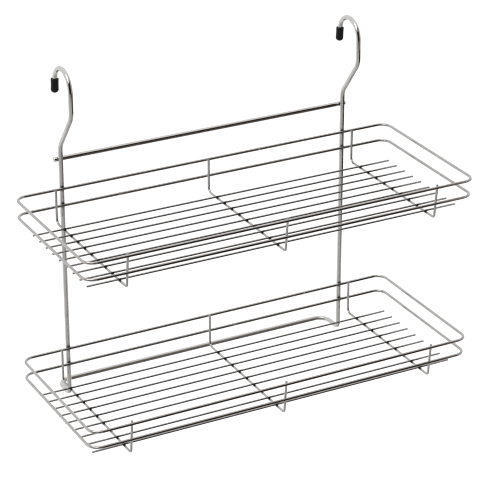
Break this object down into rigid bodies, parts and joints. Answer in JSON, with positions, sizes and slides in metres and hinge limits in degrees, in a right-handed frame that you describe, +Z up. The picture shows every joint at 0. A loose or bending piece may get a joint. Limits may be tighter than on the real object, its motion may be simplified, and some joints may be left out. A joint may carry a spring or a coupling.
{
  "type": "shower caddy",
  "caption": "Hanging shower caddy of bent and welded plated wire: shallow open wire shelves on a frame whose hooks go over a rail and end in black rubber caps.",
  "frame": {"origin": "on the rail line that the hooks go over, midway between the two hooks: the centre of both hook bends", "axes": "+X along the rail and the shelves' long side, +Y back towards the wall, +Z up"},
  "size_m": [0.453, 0.2217, 0.387],
  "materials": {
    "plated_frame_wire": "bright nickel-chrome plated 5 mm steel wire",
    "plated_shelf_wire": "bright nickel-chrome plated 2 to 3 mm steel wire, spot welded",
    "cap_rubber": "matt black moulded rubber"
  },
  "bodies": {
    "root": {"hanger_frame": "plated_frame_wire", "top_bar": "plated_frame_wire", "hook_cap_left": "cap_rubber", "hook_cap_right": "cap_rubber", "upper_top_rim": "plated_shelf_wire", "upper_lower_rim": "plated_shelf_wire", "upper_cross_wire_left": "plated_shelf_wire", "upper_cross_wire_middle": "plated_shelf_wire", "upper_cross_wire_right": "plated_shelf_wire", "upper_floor_wire_1": "plated_shelf_wire", "upper_floor_wire_2": "plated_shelf_wire", "upper_floor_wire_3": "plated_shelf_wire", "upper_floor_wire_4": "plated_shelf_wire", "upper_floor_wire_5": "plated_shelf_wire", "upper_floor_wire_6": "plated_shelf_wire", "upper_floor_wire_7": "plated_shelf_wire", "upper_floor_wire_8": "plated_shelf_wire", "upper_floor_wire_9": "plated_shelf_wire", "lower_top_rim": "plated_shelf_wire", "lower_lower_rim": "plated_shelf_wire", "lower_cross_wire_left": "plated_shelf_wire", "lower_cross_wire_middle": "plated_shelf_wire", "lower_cross_wire_right": "plated_shelf_wire", "lower_floor_wire_1": "plated_shelf_wire", "lower_floor_wire_2": "plated_shelf_wire", "lower_floor_wire_3": "plated_shelf_wire", "lower_floor_wire_4": "plated_shelf_wire", "lower_floor_wire_5": "plated_shelf_wire", "lower_floor_wire_6": "plated_shelf_wire", "lower_floor_wire_7": "plated_shelf_wire", "lower_floor_wire_8": "plated_shelf_wire", "lower_floor_wire_9": "plated_shelf_wire"}
  },
  "joints": []
}
